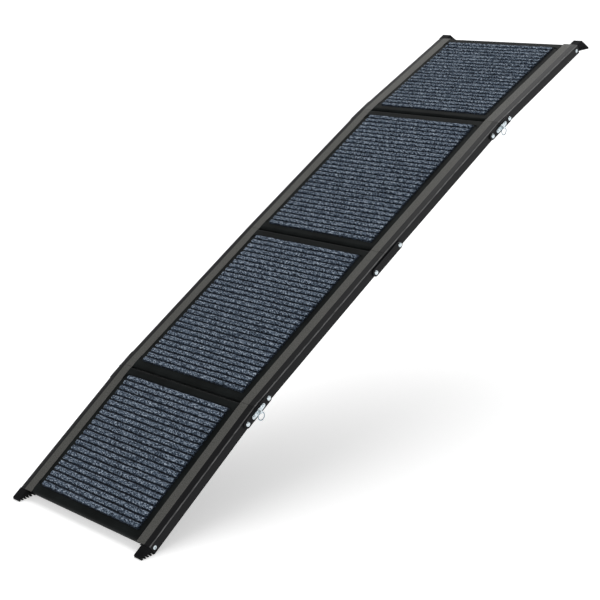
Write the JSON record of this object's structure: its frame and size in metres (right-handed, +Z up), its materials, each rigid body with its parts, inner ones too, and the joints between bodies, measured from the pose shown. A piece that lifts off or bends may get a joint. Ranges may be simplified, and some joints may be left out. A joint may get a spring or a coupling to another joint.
{
  "type": "dog ramp",
  "caption": "Folding dog ramp of hinged carpeted sections between dark aluminium side rails, standing as a low arch from the ground up to a vehicle's sill.",
  "frame": {"origin": "on the vehicle's sill, midway between the soles of the two upper feet", "axes": "+X across the ramp, to the right seen from the ground end; +Y level, from the ground end towards the sill; +Z up"},
  "size_m": [0.435, 1.4293, 0.7294],
  "materials": {
    "rail": "dark anodised, finely grooved along its length on top",
    "deck_panel": "moulded, fine grain",
    "carpet": "ribbed needle-punched carpet, heathered dark blue-grey",
    "foot": "matte, textured",
    "link": "black, satin",
    "zinc": "bright zinc plated",
    "spring_steel": "drawn wire"
  },
  "bodies": {
    "upper_middle_section": {"upper_middle_left_rail": "rail", "upper_middle_right_rail": "rail", "upper_middle_deck_panel": "deck_panel", "upper_middle_carpet": "carpet", "middle_left_high_rivet": "zinc", "middle_right_high_rivet": "zinc", "upper_left_low_rivet": "zinc", "upper_right_low_rivet": "zinc"},
    "lower_middle_section": {"lower_middle_left_rail": "rail", "lower_middle_right_rail": "rail", "lower_middle_deck_panel": "deck_panel", "lower_middle_carpet": "carpet", "lower_left_high_rivet": "zinc", "lower_right_high_rivet": "zinc", "middle_left_low_rivet": "zinc", "middle_right_low_rivet": "zinc"},
    "lower_section": {"lower_left_rail": "rail", "lower_right_rail": "rail", "lower_deck_panel": "deck_panel", "lower_carpet": "carpet", "lower_left_foot": "foot", "lower_right_foot": "foot", "lower_left_foot_screw": "zinc", "lower_right_foot_screw": "zinc", "lower_left_low_rivet": "zinc", "lower_right_low_rivet": "zinc"},
    "upper_section": {"upper_left_rail": "rail", "upper_right_rail": "rail", "upper_deck_panel": "deck_panel", "upper_carpet": "carpet", "upper_left_foot": "foot", "upper_right_foot": "foot", "upper_left_foot_screw": "zinc", "upper_right_foot_screw": "zinc", "upper_left_high_rivet": "zinc", "upper_right_high_rivet": "zinc"},
    "middle_link": {"middle_left_link": "link", "middle_right_link": "link"},
    "lower_link": {"lower_left_link": "link", "lower_right_link": "link", "lower_left_lock_housing": "zinc", "lower_right_lock_housing": "zinc", "lower_left_lock_spring": "spring_steel", "lower_right_lock_spring": "spring_steel"},
    "upper_link": {"upper_left_link": "link", "upper_right_link": "link", "upper_left_lock_housing": "zinc", "upper_right_lock_housing": "zinc", "upper_left_lock_spring": "spring_steel", "upper_right_lock_spring": "spring_steel"},
    "lower_left_lock": {"lower_left_lock_pin": "zinc"},
    "lower_right_lock": {"lower_right_lock_pin": "zinc"},
    "upper_left_lock": {"upper_left_lock_pin": "zinc"},
    "upper_right_lock": {"upper_right_lock_pin": "zinc"},
    "lower_left_ring": {"lower_left_pull_ring": "zinc"},
    "lower_right_ring": {"lower_right_pull_ring": "zinc"},
    "upper_left_ring": {"upper_left_pull_ring": "zinc"},
    "upper_right_ring": {"upper_right_pull_ring": "zinc"}
  },
  "joints": [
    {"name": "middle_fold", "type": "hinge", "parent": "upper_middle_section", "child": "middle_link", "pos_m": [0, -0.67743, -0.30112], "axis": [1, 0, 0], "range_deg": [0, 89.55]},
    {"name": "middle_fold_low", "type": "hinge", "parent": "middle_link", "child": "lower_middle_section", "pos_m": [0, -0.7536, -0.34052], "axis": [1, 0, 0], "range_deg": [0, 89.6]},
    {"name": "lower_fold", "type": "hinge", "parent": "lower_middle_section", "child": "lower_link", "pos_m": [0, -1.07434, -0.50623], "axis": [1, 0, 0], "range_deg": [0, 156.53]},
    {"name": "lower_fold_low", "type": "hinge", "parent": "lower_link", "child": "lower_section", "pos_m": [0, -1.13229, -0.53982], "axis": [1, 0, 0], "range_deg": [0, 18.9]},
    {"name": "upper_fold", "type": "hinge", "parent": "upper_middle_section", "child": "upper_link", "pos_m": [0, -0.35685, -0.13511], "axis": [-1, 0, 0], "range_deg": [0, 149.18]},
    {"name": "upper_fold_high", "type": "hinge", "parent": "upper_link", "child": "upper_section", "pos_m": [0, -0.29595, -0.10723], "axis": [-1, 0, 0], "range_deg": [0, 26.25]},
    {"name": "lower_left_lock_pull", "type": "slide", "parent": "lower_link", "child": "lower_left_lock", "axis": [-1, 0, 0], "range_m": [0, 0.0025], "stiffness_N_per_m": 1500, "springref_m": -0.004, "deforming": ["lower_left_lock_spring"]},
    {"name": "lower_right_lock_pull", "type": "slide", "parent": "lower_link", "child": "lower_right_lock", "axis": [1, 0, 0], "range_m": [0, 0.0025], "stiffness_N_per_m": 1500, "springref_m": -0.004, "deforming": ["lower_right_lock_spring"]},
    {"name": "upper_left_lock_pull", "type": "slide", "parent": "upper_link", "child": "upper_left_lock", "axis": [-1, 0, 0], "range_m": [0, 0.0025], "stiffness_N_per_m": 1500, "springref_m": -0.004, "deforming": ["upper_left_lock_spring"]},
    {"name": "upper_right_lock_pull", "type": "slide", "parent": "upper_link", "child": "upper_right_lock", "axis": [1, 0, 0], "range_m": [0, 0.0025], "stiffness_N_per_m": 1500, "springref_m": -0.004, "deforming": ["upper_right_lock_spring"]},
    {"name": "lower_left_ring_swing", "type": "hinge", "parent": "lower_left_lock", "child": "lower_left_ring", "pos_m": [-0.2148, -1.10331, -0.52303], "axis": [0, 1, 0], "range_deg": [0, 85]},
    {"name": "lower_right_ring_swing", "type": "hinge", "parent": "lower_right_lock", "child": "lower_right_ring", "pos_m": [0.2148, -1.10331, -0.52303], "axis": [0, -1, 0], "range_deg": [0, 85]},
    {"name": "upper_left_ring_swing", "type": "hinge", "parent": "upper_left_lock", "child": "upper_left_ring", "pos_m": [-0.2148, -0.3264, -0.12117], "axis": [0, 1, 0], "range_deg": [0, 85]},
    {"name": "upper_right_ring_swing", "type": "hinge", "parent": "upper_right_lock", "child": "upper_right_ring", "pos_m": [0.2148, -0.3264, -0.12117], "axis": [0, -1, 0], "range_deg": [0, 85]}
  ],
  "couplings": [
    {"joint": "middle_fold_low", "follows": "middle_fold", "ratio": 1},
    {"joint": "lower_fold_low", "follows": "lower_fold", "ratio": 0.12053},
    {"joint": "upper_fold_high", "follows": "upper_fold", "ratio": 0.17571}
  ]
}
